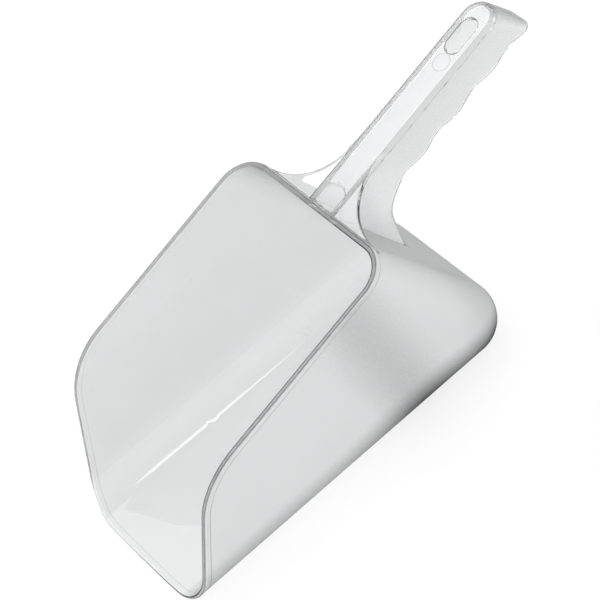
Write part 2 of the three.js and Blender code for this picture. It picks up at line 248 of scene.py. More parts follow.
def place_on_side(s, y, z):
    """(p, q) of the points of the outer wall at these places of the side view, found in steps."""
    p = np.asarray(y, float).copy()
    z = np.asarray(z, float)
    for _ in range(30):
        y_rim, z_rim, turn = wall_line(s, p)
        z_low = s.floor_radius * (1 + np.sin(turn))
        t = np.clip((z - z_low) / (z_rim - z_low), 0, None)
        p = y - t * (y_rim - p)
    ang = np.arcsin(np.clip(z / s.floor_radius - 1, -1, np.sin(turn)))
    end = arc_end(s, p)
    q = np.where(t > 0, end + t * (wall_end(s, p) - end), s.xc + s.floor_radius * (pi / 2 + ang))
    return p, q


# Front edge: samples of its arc, line and lip, where the line gives way to the lip's round, that round's
# half width, the room before the lip, where the lip starts to close on the line and the gap between
# their samples
ARC_POINTS, LINE_POINTS, LIP_POINTS = 40, 30, 120
LINE_FOOT, LIP_ROUND, LIP_ROOM, CLOSE_FROM, LIP_GAP = 26.0, 6.7, 0.2, 40.0, 2


def front_edge(s):
    """(q, p) along the edge from the middle of the lip to where the rim's straight part starts. Lip
    and front line are the asymptotes of a hyperbola; an arc joins the front line to the rim.
    """
    c, n = cos(s.rim_tilt), sin(s.rim_tilt)
    along, up = np.array([c, n]), np.array([-n, c])
    corner = np.array([-s.shoulder_reach, s.rim_height - s.shoulder_reach * s.slope])
    turn = pi / 2 - s.front_lean - s.rim_tilt
    start = corner + along * s.shoulder_radius * tan(turn / 2)
    centre = start - up * s.shoulder_radius
    k = np.linspace(turn, 0, ARC_POINTS)
    arc = centre + s.shoulder_radius * np.stack([
        up[0] * np.cos(k) - up[1] * np.sin(k), up[0] * np.sin(k) + up[1] * np.cos(k)], 1)
    down = np.array([-sin(s.front_lean), -cos(s.front_lean)])
    z = np.linspace(LINE_FOOT, arc[0, 1], LINE_POINTS)[:-1]
    line = arc[0] + down * ((arc[0, 1] - z) / cos(s.front_lean))[:, None]
    p, q = place_on_side(s, *np.vstack([line, arc]).T)
    rise = (p[2] - p[0]) / (q[2] - q[0])
    lip = s.front + LIP_ROOM
    cross = q[0] - (p[0] - lip) / rise
    ql = np.linspace(0, q[0] - LIP_GAP, LIP_POINTS)
    over = np.hypot(q[0] - cross, LIP_ROUND) - (q[0] - cross)
    curve = (ql - cross) + np.hypot(ql - cross, LIP_ROUND) - ease(ql, CLOSE_FROM, q[0]) * over
    pl = lip + rise * curve / 2
    return np.concatenate([ql, q]), np.concatenate([pl, p])


def spaced(x, y, step):
    """Points along the line (x, y), with step(x) as the distance between them."""
    d = np.concatenate([[0], np.cumsum(np.hypot(np.diff(x), np.diff(y)))])
    fine = np.linspace(0, d[-1], 4000)
    fx, fy = np.interp(fine, d, x), np.interp(fine, d, y)
    w = 1 / step(fx)
    total = np.concatenate([[0], np.cumsum((w[1:] + w[:-1]) / 2 * np.diff(fine))])
    n = int(np.ceil(total[-1])) + 1
    at = np.interp(np.linspace(0, total[-1], n), total, fine)
    return np.interp(at, fine, fx), np.interp(at, fine, fy)


# Rows over a rounded edge, down the wall, round its foot and over the floor; columns beside the bowl and
# round its back corner
ROUND = 7
WALL_ROWS, ARC_ROWS, FLOOR_ROWS = 12, 20, 12
SIDE_COLUMNS, FAN_COLUMNS = 29, 21
PATH_POINTS = 500

# The rounded edge of the opening, and the rows below it in shares of the bead's height
EDGE_ROUND, EDGE_SHARE = 0.4, 0.42
BEAD_STOPS = (0.3, 0.6, 0.8, 0.88, 0.94, 1.0, 1.06, 1.15, 1.35)
BEAD_ENDS, BEAD_STARTS = (0.88, 1.06), (50, 66)

# Distance between columns along the edge: closer at the lip's corner and along the shoulder
COLUMN_STEP, CORNER_CLOSER, SHOULDER_CLOSER = 3.4, 2.0, 1.6
CORNER_AT, CORNER_SPREAD, SHOULDER_SPAN = 45, 16, (110, 125)

# How the columns leave the edge and reach the middle, and how rows gather in the round at the wall's foot
LEAVE_SHARE, LEAVE_MOST, REACH_SHARE, SQUARE_COLUMNS = 0.35, 12, 0.4, 9
ROW_WEIGHT, TIGHT_WEIGHT, TIGHT_FAR, TIGHT_NEAR = 0.13, 0.8, 6, 1
LIP_SIDE = 26

# Painted dark lines on the rim's outer edge, the foot of its bead and its inner edge, and the strips of
# its top
OUTER_PAINTED_LINE, BEAD_PAINTED_LINE, INNER_PAINTED_LINE = 0.3, 0.4, 0.8
STRIPS = (0.1, 0.3, 0.7, 0.85)


def band_rows(bead):
    """Distances from the edge of the first rows: over the round, then down the bead."""
    t = np.linspace(0, pi / 2, ROUND)
    return np.concatenate([EDGE_ROUND * (1 - np.cos(t)), np.array(BEAD_STOPS) * bead])


def bezier(a, b, c, d, t):
    """The cubic curve from a to d that b and c pull at."""
    t = t[:, None]
    return a * (1 - t) ** 3 + 3 * b * t * (1 - t) ** 2 + 3 * c * t * t * (1 - t) + d * t**3


def bowl_half(s):
    """Columns that start square to the edge and run down the wall and over the floor to the middle.
    Returns outer and inner points by column, with the numbers that neighbouring columns share.
    """
    near = band_rows(s.bead_height)
    band = len(near)
    rows = band + WALL_ROWS + ARC_ROWS + FLOOR_ROWS
    eq, ep = front_edge(s)
    first = ep[-1]

    def step(q):
        corner = np.exp(-(((q - CORNER_AT) / CORNER_SPREAD) ** 2))
        return COLUMN_STEP - CORNER_CLOSER * corner - SHOULDER_CLOSER * ease(q, *SHOULDER_SPAN)

    fq, fp = spaced(eq, ep, step)
    fq[0] = 0
    sink = np.array([0.0, first])
    e = 1e-3
    columns = []
    at = np.stack([fq, fp], 1)
    tangent = np.gradient(at, axis=0)
    tangent[0] = (1, 0)
    for i, (point, along) in enumerate(zip(at, tangent)):
        q, p = point
        base = side_point(s, np.array(p), np.array(q), 0)
        step_q = (side_point(s, np.array(p), np.array(q - e), 0) - base) / -e
        step_p = (side_point(s, np.array(p + e), np.array(q), 0) - base) / e
        metric = np.array([[step_q @ step_q, step_q @ step_p], [step_q @ step_p, step_p @ step_p]])
        g = metric @ along
        inward = np.array([-g[1], g[0]])
        inward /= np.sqrt(inward @ metric @ inward)
        if inward @ (sink - point) < 0:
            inward = -inward
        mix = ease(i, len(at) - SQUARE_COLUMNS, len(at) - 1)
        inward = inward * (1 - mix) + np.array([-1.0, 0]) * mix
        far = np.hypot(*(sink - point))
        if i == 0:
            inward = np.array([0.0, 1.0])
        leave = point + inward * min(far * LEAVE_SHARE, LEAVE_MOST)
        reach = sink + (point - sink) * REACH_SHARE
        path = bezier(point, leave, reach, sink, np.linspace(0, 1, PATH_POINTS))
        if i == len(at) - 1:
            path[:, 1] = first
        if i == 0:
            path[:, 0] = 0
        place = side_point(s, path[:, 1], path[:, 0], 0)
        run = np.concatenate([[0], np.cumsum(np.linalg.norm(np.diff(place, axis=0), axis=1))])
        pq = path[:, 0]
        end = arc_end(s, path[:, 1])
        past = ease(pq, end + TIGHT_NEAR, end + TIGHT_FAR)
        tight = ease(pq, s.xc - TIGHT_FAR, s.xc - TIGHT_NEAR) * (1 - past)
        weight = (ROW_WEIGHT + tight * TIGHT_WEIGHT) * ease(run, -1, 3)
        total = np.concatenate([[0], np.cumsum((weight[1:] + weight[:-1]) / 2 * np.diff(run))])
        start = np.interp(near[-1], run, total)
        after = np.interp(np.linspace(start, total[-1], rows - band + 1)[1:], total, run)
        stops = np.concatenate([near, after])
        columns.append(np.stack([np.interp(stops, run, path[:, 0]), np.interp(stops, run, path[:, 1])], 1))
    ps = np.linspace(first, s.yc, SIDE_COLUMNS + 1)[1:]
    for p in ps:
        top, arc = float(wall_end(s, p)), float(arc_end(s, p))
        q = np.concatenate([
            top - near,
            np.linspace(top - near[-1], arc, WALL_ROWS + 1)[1:],
            np.linspace(arc, s.xc, ARC_ROWS + 1)[1:],
            np.linspace(s.xc, 0, FLOOR_ROWS + 1)[1:],
        ])
        columns.append(np.stack([q, 0 * q + p], 1))
    pq = np.array(columns)
    count = len(columns)

    def faces_at(off):
        """All columns of one face of the wall: the sides by side_point, the back corner as a fan
        about one centre, the back as lines between floor and rim.
        """
        made = [side_point(s, pq[..., 1], pq[..., 0], off)]
        r = s.floor_radius - off
        turn_in = off / cos(s.rise)
        heads = []
        for phi in np.linspace(0, pi / 2, FAN_COLUMNS + 1)[1:]:
            n = np.array([cos(phi), sin(phi), 0])
            c = np.array([s.xc, s.yc, s.floor_radius])
            out, back = s.rim_radius - off, s.hb - turn_in
            h = np.array([s.hx + out * cos(phi), s.hy + back * sin(phi) * cos(s.rim_tilt),
                          s.hz + back * sin(phi) * sin(s.rim_tilt)])
            heads.append((c, n, h))
        for x in pq[count - 1, rows - FLOOR_ROWS:, 0]:
            c = np.array([x, s.yc, s.floor_radius])
            h = np.array([x * s.hx / s.xc, -turn_in * cos(s.rim_tilt),
                          s.rim_height - turn_in * sin(s.rim_tilt)])
            heads.append((c, np.array([0, 1.0, 0]), h))
        cols = []
        for c, n, h in heads:
            a, b = (h - c) @ n, h[2] - c[2]
            turn = atan2(b, a) - np.arccos(r / hypot(a, b))
            low = c + r * (cos(turn) * n + np.array([0, 0, sin(turn)]))
            size = np.linalg.norm(h - low)
            t = np.concatenate([near / size, np.linspace(near[-1] / size, 1, WALL_ROWS + 1)[1:]])
            straight = h + (low - h) * t[:, None]
            ang = np.linspace(turn, -pi / 2, ARC_ROWS + 1)[1:-1]
            round_line = c + r * (np.cos(ang)[:, None] * n + np.sin(ang)[:, None] * np.array([0, 0, 1.0]))
            cols.append(np.vstack([straight, round_line]))
        return made[0], np.array(cols)

    outer, outer_back = faces_at(0.0)
    inner, inner_back = faces_at(s.wall)
    # thickness at the lip
    q, p = pq[..., 0], pq[..., 1]
    thin = ease(-p, -s.front - s.lip_depth, -s.front) * (1 - ease(q, s.xc, s.xc + LIP_SIDE))
    thick = 1 - thin * (1 - s.lip / s.wall)
    inner = outer + (inner - outer) * thick[..., None]
    strength = ease(pq[:, 0, 0], *BEAD_STARTS)

    def finish(o, i, bead):
        """Rounds the edge of both faces and raises the bead on the outer one."""
        normal = o - i
        gap = np.linalg.norm(normal, axis=-1, keepdims=True)
        normal = normal / gap
        radius = np.minimum(EDGE_ROUND, gap[:, 0, 0] * EDGE_SHARE)
        t = np.linspace(0, pi / 2, ROUND)
        inset = np.zeros((len(o), o.shape[1]))
        inset[:, :ROUND] = radius[:, None] * (1 - np.sin(t))
        raised = np.zeros_like(inset)
        drop = 1 - ease(near / s.bead_height, *BEAD_ENDS)
        raised[:, :band] = s.bead_proud * bead[:, None] * drop
        return o + normal * (raised - inset)[..., None], i + normal * inset[..., None]

    outer, inner = finish(outer, inner, strength)
    outer_back, inner_back = finish(outer_back, inner_back, np.ones(len(outer_back)))
    return outer, inner, outer_back, inner_back, rows - FLOOR_ROWS - 1


def bowl(s):
    """The bowl as one closed shell."""
    outer, inner, outer_back, inner_back, foot = bowl_half(s)
    n, rows = outer.shape[:2]
    nb, rb = outer_back.shape[:2]
    side = np.arange(n * rows).reshape(n, rows)
    side[:, -1] = np.where(np.arange(n) < n - SIDE_COLUMNS, side[n - SIDE_COLUMNS - 1, -1], side[:, -1])
    back = n * rows + np.arange(nb * rb).reshape(nb, rb)
    columns = [list(c) for c in side]
    columns_back = [list(side[-1, : foot + 1])]
    for i in range(nb):
        end = side[-1, foot + max(0, i - (nb - FLOOR_ROWS) + 1)]
        columns_back.append(list(back[i]) + [end])
    faces = strips(columns) + strips(columns_back)
    size = n * rows + nb * rb
    rim = np.concatenate([side[:, 0], back[:, 0]])
    inner_faces = [[i + size for i in reversed(f)] for f in faces]
    points = np.vstack([outer.reshape(-1, 3), outer_back.reshape(-1, 3),
                        inner.reshape(-1, 3), inner_back.reshape(-1, 3)])
    marks = np.zeros((len(points), 3))
    for start, wide, height in ((0, n, rows), (n * rows, nb, rb)):
        part = marks[start:start + wide * height].reshape(wide, height, 3)
        part[:, :, 2] = 1
        part[:, ROUND:, 0] = 1
        # Painted dark lines on the rim's rounds and at the foot of the bead
        part[:, :ROUND, 1] = OUTER_PAINTED_LINE
        part[:, ROUND + 3:ROUND + 6, 1] = BEAD_PAINTED_LINE
        within = marks[size + start:size + start + wide * height].reshape(wide, height, 3)
        within[:, :ROUND, 1] = INNER_PAINTED_LINE
    across = np.array(STRIPS)
    land = points[rim][:, None] + (points[rim + size] - points[rim])[:, None] * across[:, None]
    top = 2 * size + np.arange(len(rim) * len(across)).reshape(len(rim), -1)
    rungs = np.concatenate([rim[:, None] + size, top[:, ::-1], rim[:, None]], 1)
    points = np.vstack([points, land.reshape(-1, 3)])
    top_marks = [[0, OUTER_PAINTED_LINE, 0], [0, 0, 0], [0, 0, 0], [0, INNER_PAINTED_LINE, 0]]
    marks = np.vstack([marks, np.tile(top_marks, (len(rim), 1))])
    faces = faces + inner_faces + strips([list(c) for c in rungs])
    used = np.unique(np.concatenate([np.array(f) for f in faces]))
    number = np.full(len(points), -1)
    number[used] = np.arange(len(used))
    faces = [[int(number[i]) for i in f] for f in faces]
    points, faces, marks = mirrored(points[used], faces, marks[used])
    return mesh_of("scoop_moulding", points, faces, s, marks)


# Handle

NECK_EDGE = ((14.43, -64.66), (15.1, -62.3), (17.5, -53.6), (20.0, -45.2), (22.4, -38.6), (25.6, -34.3),
             (29.7, -31.2), (36.2, -27.9), (41.3, -25.7), (46.0, -26.15))
SCALLOP_CREST, SCALLOP_PITCH, SCALLOP_DEPTH, WEB_FOOT = 122.5, 27.3, 2.8, -28.0
END_ROUND_TOP, END_ROUND_FOOT = 10.4, 5.2
TOP_ROUND = 2.2
FOOT_ROUND = 1.15
WEB_ROWS, PLATE_ROWS = 9, 5
NECK_COLUMNS, GRIP_COLUMNS, END_COLUMNS = 34, 44, 15
SHEAR_FROM, WEB_CURVE, INNER_ROUND = 70, 0.3, 1.0
LAST_FOOT_FROM, LAST_FOOT_DROP = 126, 0.5
FOOT_STOPS, TOP_STOPS = (1.8, 2.6), (2.4, 1.6, 0.8, 0)
# Painted dark lines along the web's lower round and over the round between web and plate
FOOT_PAINTED_LINE, KNEE_PAINTED_LINE = 0.3, 0.28

# Slot: its middle, the round of its edges, how far the cutter stands out, the points of its outline and
# the painted dark line on its edges
SLOT_MIDDLE, SLOT_ROUND, SLOT_OVER, SLOT_POINTS, SLOT_PAINTED_LINE = 111.15, 0.55, 2, 64, 0.45
CLEAR = 0.004

# Neck: the gussets' curve and how far they run on under the web, the cove under the plate, and for both
# the rounds of their upper and lower edges
GUSSET_SPAN, GUSSET_REACH, GUSSET_RADII = 48, 34, (37.4, 33)
GUSSET_TAIL, GUSSET_TAIL_RUN, GUSSET_ROOT = (9.9, 44.0), (0.7, -10.0), (9.2, -0.3)
GUSSET_ROUNDS, COVE_ROUNDS, EDGE_ROWS = (1.0, 1.3), (0.3, 1.6), 6
COVE_HALF, COVE_REACH, COVE_CORNER, COVE_FROM, COVE_ROOT = 8.6, 16, 7, 0.2, (0, -0.2)
GUSSET_POINTS, TAIL_POINTS, COVE_POINTS = 40, 6, 10
# PAD_PAINTED_SHADE is the painted shade on the pads' rounded edges
COVE_ABOVE, COVE_BELOW, PAD_PAINTED_SHADE, SINK = 1.2, 2.4, 0.12, 0.01


def scallop(y):
    """Height of the web's lower edge along the grip: a cosine between crest and foot, level past its
    last foot.
    """
    last = SCALLOP_CREST + SCALLOP_PITCH / 2
    wave = 0.5 + 0.5 * np.cos((np.minimum(y, last) - SCALLOP_CREST) / SCALLOP_PITCH * 2 * pi)
    return WEB_FOOT + SCALLOP_DEPTH * wave - LAST_FOOT_DROP * ease(y, LAST_FOOT_FROM, last)


def through(points, count):
    """A Catmull-Rom curve through the points, count samples evenly by length."""
    p = np.asarray(points, float)
    p = np.vstack([2 * p[0] - p[1], p, 2 * p[-1] - p[-2]])
    out = []
    t = np.linspace(0, 1, 40, endpoint=False)[:, None]
    for a, b, c, d in zip(p[:-3], p[1:-2], p[2:-1], p[3:]):
        square, cube = 2 * a - 5 * b + 4 * c - d, 3 * b - a - 3 * c + d
        out.append(0.5 * (2 * b + (c - a) * t + square * t**2 + cube * t**3))
    fine = np.vstack(out + [p[-2:-1]])
    d = np.concatenate([[0], np.cumsum(np.linalg.norm(np.diff(fine, axis=0), axis=1))])
    at = np.linspace(0, d[-1], count)
    return np.stack([np.interp(at, d, fine[:, 0]), np.interp(at, d, fine[:, 1])], 1)


def web_stops(low, high):
    """Rows up the web: even ones, then three close ones for the lines below the top."""
    first, *close = TOP_STOPS
    return np.concatenate([np.linspace(low, high - first, WEB_ROWS - 2)[1:], high - np.array(close)])


def handle(s):
    """The channel handle as one closed sheet: columns from the scalloped lower edge up the web, over
    the round and in to the middle of the plate, outside and inside.
    """
    half = s.handle_width / 2
    top = -s.handle_drop
    knee = top - TOP_ROUND
    lean = tan(s.end_lean)

    def end_y(z):
        return s.handle_length + (top - z) * lean

    def end_round(z):
        down = np.clip((top - z) / (top - WEB_FOOT), 0, 1.1)
        return END_ROUND_TOP + (END_ROUND_FOOT - END_ROUND_TOP) * down

    neck = through(NECK_EDGE, NECK_COLUMNS)
    grip_end = float(end_y(top) - end_round(top))
    grip = np.linspace(neck[-1, 0], grip_end, GRIP_COLUMNS)[1:]
    foot = np.vstack([neck, np.stack([grip, scallop(grip)], 1)])
    head = np.concatenate([np.linspace(0, neck[-1, 0], len(neck)), grip])
    slope = np.gradient(foot, axis=0)
    normal = np.stack([-slope[:, 1], slope[:, 0]], 1)
    normal /= np.linalg.norm(normal, axis=1)[:, None]
    t = np.linspace(0, pi / 2, ROUND)
    near = np.concatenate([FOOT_ROUND * (1 - np.cos(t)), FOOT_STOPS])
    inset0 = np.concatenate([FOOT_ROUND * (1 - np.sin(t)), [0, 0]])
    rows = []
    for b, y, n in zip(foot, head, normal):
        goal = np.array([y, knee])
        far = np.linalg.norm(goal - b)
        tt = np.linspace(0, 1, 200)
        path = bezier(b, b + n * far * WEB_CURVE, goal - (0, far * WEB_CURVE), goal, tt)
        run = np.concatenate([[0], np.cumsum(np.linalg.norm(np.diff(path, axis=0), axis=1))])
        stops = np.concatenate([near, web_stops(near[-1], run[-1])])
        rows.append(np.stack([np.interp(stops, run, path[:, 0]), np.interp(stops, run, path[:, 1])], 1))
    side = np.array(rows)
    move = ease(head, SHEAR_FROM, grip_end)[:, None]
    shear = (end_y(side[..., 1]) - end_round(side[..., 1])) - grip_end
    side_y = side[..., 0] + shear * move
    side_z = side[..., 1].copy()
    fix = scallop(side_y[:, :1]) - scallop(side[:, :1, 0])
    fade = 1 - np.linspace(0, 1, side_z.shape[1])
    side_z[len(neck):] += (fix * fade)[len(neck):]
    angles = np.linspace(0, pi / 2, END_COLUMNS + 1)[1:]
    foot_z = float(side_z[-1, 0])

    def column_heights():
        return np.concatenate([foot_z + near, web_stops(foot_z + near[-1], knee)])

    def face(depth, ceiling, corner):
        """Points of one face. depth is how far in from the outline, ceiling the plate's height there
        and corner the round between them.
        """
        cols = []
        arc = np.linspace(0, pi / 2, ROUND)[1:]
        floor_inset = inset0 if depth == 0 else -inset0
        base = np.concatenate([floor_inset, np.zeros(WEB_ROWS)])
        for yy, zz in zip(side_y, side_z):
            z = zz[0] + (zz - zz[0]) * ((ceiling - corner - zz[0]) / (zz[-1] - zz[0]))
            x = half - depth - base
            ax = half - depth - corner * (1 - np.cos(arc))
            az = ceiling - corner * (1 - np.sin(arc))
            ins = np.linspace(1, 0, PLATE_ROWS + 1)[1:]
            px = (half - depth - corner) * ins
            cols.append(np.stack([np.concatenate([x, ax, px]),
                                  np.concatenate([yy, 0 * ax + yy[-1], 0 * px + yy[-1]]),
                                  np.concatenate([z, az, 0 * px + ceiling])], 1))
        zz = column_heights()
        z = zz[0] + (zz - zz[0]) * ((ceiling - corner - zz[0]) / (zz[-1] - zz[0]))
        z_all = np.concatenate([z, ceiling - corner * (1 - np.sin(arc))])
        in_all = np.concatenate([depth + base, depth + corner * (1 - np.cos(arc))])
        r = end_round(z_all)
        spine = np.array([0.0, side_y[-1, -1]])
        ring = []
        for w in angles:
            x = half - r + (r - in_all) * cos(w)
            y = end_y(z_all) - r + (r - in_all) * sin(w)
            ring.append((x, y))
        x_end, y_end = ring[-1]
        for k in np.linspace(1, 0, 5)[1:]:
            ring.append((x_end * k, y_end))
        for x, y in ring:
            ins = np.linspace(0, 1, PLATE_ROWS + 1)[1:]
            px, py = x[-1] * (1 - ins), y[-1] + (spine[1] - y[-1]) * ins
            cols.append(np.stack([np.concatenate([x, px]), np.concatenate([y, py]),
                                  np.concatenate([z_all, 0 * px + ceiling])], 1))
        return np.array(cols)

    outer = face(0.0, top, TOP_ROUND)
    inner = face(s.web, top - s.plate, INNER_ROUND)
    n, high = outer.shape[:2]
    number = np.arange(n * high).reshape(n, high)
    last_side = len(side_y) - 1
    number[last_side + 1:, -1] = number[last_side, -1]
    faces = strips([list(c) for c in number])
    size = n * high
    inner_faces = [[i + size for i in reversed(f)] for f in faces]
    low = number[:, 0]
    strip = np.stack([low[:-1], low[:-1] + size, low[1:] + size, low[1:]], 1).tolist()
    front = number[0]
    cap = np.stack([front[:-1], front[1:], front[1:] + size, front[:-1] + size], 1).tolist()
    points = np.vstack([outer.reshape(-1, 3), inner.reshape(-1, 3)])
    faces = faces + inner_faces + [f[::-1] for f in strip] + [f[::-1] for f in cap]
    used = np.unique(np.concatenate([np.array(f) for f in faces]))
    renumber = np.full(len(points), -1)
    renumber[used] = np.arange(len(used))
    faces = [[int(renumber[i]) for i in f] for f in faces]
    marks = np.zeros((len(points), 3))
    knee_row = ROUND + 1 + WEB_ROWS
    skin = marks[:size].reshape(n, high, 3)
    skin[:, ROUND:knee_row, 0] = 1
    # Painted dark lines on the web's lower round and the knee below the plate
    skin[:, :ROUND, 1] = FOOT_PAINTED_LINE
    skin[:, knee_row - 1:knee_row + ROUND, 1] = KNEE_PAINTED_LINE
    points, faces, marks = mirrored(points[used], faces, marks[used])
    return mesh_of("handle", handle_point(s, *points.T), faces, s, marks)


def pad(s, name, outline, sink, top, foot, round_top, round_foot):
    """A flat plate inside an open outline that ends at a sink point, with a rounded edge: rows run
    from the sink on top, over the edge and back to the sink below.
    """
    outline = np.asarray(outline, float)
    tangent = np.gradient(outline, axis=0)
    out = np.stack([tangent[:, 1], -tangent[:, 0]], 1)
    out /= np.linalg.norm(out, axis=1)[:, None]
    if ((outline - sink) * out).sum() < 0:
        out = -out
    t = np.linspace(0, pi / 2, EDGE_ROWS)
    ins = np.concatenate([round_top * (1 - np.sin(t)), round_foot * (1 - np.cos(t))])
    z = np.concatenate([top - round_top * (1 - np.cos(t)), foot + round_foot * (1 - np.sin(t))])
    edge = outline[:, None, :] - out[:, None, :] * ins[None, :, None]
    share = np.linspace(0, 1, EDGE_ROWS)[1:-1]
    flat_top = sink + (edge[:, :1] - sink) * share[None, :, None]
    flat_foot = sink + (edge[:, -1:] - sink) * share[::-1][None, :, None]
    xy = np.concatenate([flat_top, edge, flat_foot], 1)
    zz = np.concatenate([0 * share + top, z, 0 * share + foot])
    n, m = xy.shape[:2]
    points = np.concatenate([xy, np.broadcast_to(zz[None, :, None], (n, m, 1))], 2).reshape(-1, 3)
    number = np.arange(n * m).reshape(n, m)
    hub = n * m
    points = np.vstack([points, [*sink, top], [*sink, foot]])
    columns = [[hub, *c, hub + 1] for c in number.tolist()]
    faces = strips(columns)
    faces += [columns[0][::-1], columns[-1]]
    marks = np.zeros((len(points), 3))
    # Painted shade on the rounded edge
    marks[:hub].reshape(n, m, 3)[:, len(share):-len(share), 1] = PAD_PAINTED_SHADE
    return mesh_of(name, handle_point(s, *points.T), faces, s, marks)


def slot_cutter(s):
    """A stadium prism whose ends flare, so that the cut slot has rounded edges."""
    r, straight = s.slot_width / 2, (s.slot_length - s.slot_width) / 2
    middle, flare = SLOT_MIDDLE, SLOT_ROUND
    top, foot = -s.handle_drop, -s.handle_drop - s.plate
    t = np.linspace(0, pi / 2, EDGE_ROWS)
    grow = np.concatenate([[flare], flare * (1 - np.sin(t)), (flare * (1 - np.sin(t)))[::-1], [flare]])
    z = np.concatenate([[top + SLOT_OVER], top + CLEAR - flare * (1 - np.cos(t)),
                        (foot - CLEAR + flare * (1 - np.cos(t)))[::-1], [foot - SLOT_OVER]])
    a = np.linspace(0, 2 * pi, SLOT_POINTS, endpoint=False)
    x = (r + grow[:, None]) * np.cos(a)
    y = middle + straight * np.sign(np.sin(a) + 1e-9) + (r + grow[:, None]) * np.sin(a)
    points = np.stack([x, y, np.broadcast_to(z[:, None], x.shape)], -1)
    n, m = x.shape
    number = np.arange(n * m).reshape(n, m)
    ring = np.concatenate([number, number[:, :1]], 1)
    faces = np.stack([ring[:-1, :-1], ring[:-1, 1:], ring[1:, 1:], ring[1:, :-1]], -1)
    faces = faces.reshape(-1, 4).tolist()
    faces += [number[0].tolist()[::-1], number[-1].tolist()]
    marks = np.zeros((n, m, 3))
    # Painted dark line on the slot's rounded edges
    marks[:EDGE_ROWS + 1, :, 1] = SLOT_PAINTED_LINE
    return mesh_of("slot", handle_point(s, *points.reshape(-1, 3).T), faces, s, marks.reshape(-1, 3))


def gusset_outline(sign):
    """A quarter of an ellipse from the web out to the rim, with a straight tail inside the web."""
    t = np.linspace(0, pi / 2, GUSSET_POINTS)
    share = np.linspace(0, 1, TAIL_POINTS)[:-1, None]
    tail = share * np.array([GUSSET_TAIL_RUN]) + np.array([GUSSET_TAIL])
    across, along = GUSSET_RADII
    curve = np.stack([GUSSET_SPAN - across * np.cos(t), GUSSET_REACH - along * np.sin(t)], 1)
    return np.vstack([tail, curve]) * (sign, 1)


def cove_outline():
    """An arch from side to side: straight sides and quarter circles for corners."""
    t = np.linspace(0, pi / 2, COVE_POINTS)
    x, y = COVE_HALF - COVE_CORNER, COVE_REACH - COVE_CORNER
    corner = np.stack([x + COVE_CORNER * np.cos(t), y + COVE_CORNER * np.sin(t)], 1)
    right = np.vstack([[[COVE_HALF, COVE_FROM]], corner])
    return np.vstack([right, right[::-1] * (-1, 1)])


def apply(ob, tool, kind):
    """Joins the tool to the object or cuts it away, and removes the tool."""
    m = ob.modifiers.new(kind, "BOOLEAN")
    m.operation, m.solver, m.object = kind, "MANIFOLD", tool
    dg = bpy.context.evaluated_depsgraph_get()
    dg.update()
    me = bpy.data.meshes.new_from_object(ob.evaluated_get(dg), depsgraph=dg)
    ob.modifiers.clear()
    old = ob.data
    ob.data = me
    bpy.data.meshes.remove(old)
    mesh = tool.data
    bpy.data.objects.remove(tool)
    bpy.data.meshes.remove(mesh)


# Faces that meet at more than this angle have a sharp edge
SHARP_FROM = radians(32)


class SCOOP_OT_moulding(bpy.types.Operator):
    """Builds the scoop, one moulding of bowl and handle"""

    bl_idname = "scoop.moulding"
    bl_label = "Scoop moulding"

    def execute(self, context):
        s = form()
        ob = bowl(s)
        top, foot = -s.handle_drop, -s.handle_drop - s.plate
        apply(ob, handle(s), "UNION")
        for sign in (1, -1):
            root = np.array([GUSSET_ROOT[0] * sign, GUSSET_ROOT[1]])
            gusset = pad(s, "gusset", gusset_outline(sign), root, top - SINK, foot + SINK, *GUSSET_ROUNDS)
            apply(ob, gusset, "UNION")
        cove = pad(s, "cove", cove_outline(), np.array(COVE_ROOT), foot + COVE_ABOVE, foot - COVE_BELOW,
                   *COVE_ROUNDS)
        apply(ob, cove, "UNION")
        apply(ob, slot_cutter(s), "DIFFERENCE")
        me = ob.data
        me.name = ob.name
        me.shade_smooth()
        me.set_sharp_from_angle(angle=SHARP_FROM)
        me.materials.clear()
        me.materials.append(plastic())
        me.polygons.foreach_set("material_index", np.zeros(len(me.polygons), np.int32))
        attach(ob, "root")
        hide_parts(*NODES)
        return {"FINISHED"}


# Material


class Nodes:
    """Short calls for the nodes of one tree."""

    def __init__(self, tree):
        self.tree = tree

    def add(self, kind, values=(), **settings):
        n = self.tree.nodes.new(kind)
        for key, value in settings.items():
            setattr(n, key, value)
        for key, value in dict(values).items():
            if isinstance(value, bpy.types.NodeSocket):
                self.tree.links.new(value, n.inputs[key])
            else:
                n.inputs[key].default_value = value
        return n

    def math(self, kind, a, b=0.0, clamp=False):
        return self.add("ShaderNodeMath", {0: a, 1: b}, operation=kind, use_clamp=clamp).outputs[0]

    def product(self, *values):
        """All the values multiplied."""
        result = values[0]
        for value in values[1:]:
            result = self.math("MULTIPLY", result, value)
        return result

    def total(self, *values):
        """All the values added."""
        result = values[0]
        for value in values[1:]:
            result = self.math("ADD", result, value)
        return result

    def rest(self, value):
        """What is left of 1."""
        return self.math("SUBTRACT", 1.0, value)

    def mark(self, name):
        """A number that the mesh's faces carry."""
        return self.add("ShaderNodeAttribute", {}, attribute_name=name).outputs["Fac"]

    def noise(self, where, scale, detail=2.0):
        n = self.add("ShaderNodeTexNoise", {"Vector": where, "Scale": scale, "Detail": detail})
        return n.outputs["Fac"]

    def ramp(self, value, low, high, out_low=0.0, out_high=1.0, shape="LINEAR"):
        """out_low below low, out_high above high and a slope between."""
        return self.add("ShaderNodeMapRange", {
            "Value": value, "From Min": low, "From Max": high, "To Min": out_low, "To Max": out_high,
        }, interpolation_type=shape).outputs[0]

    def link(self, output, socket):
        self.tree.links.new(output, socket)


# Plastic: its refraction, the colour of the painted shade and the specks, the smoke that it is tinted with
REFRACTION, PAINTED_SHADE_AND_SPECK_COLOUR = 1.585, (0.05, 0.052, 0.055, 1)
SMOKE_COLOUR, SMOKE_DENSITY = (0.5, 0.5, 0.5, 1), 8.0

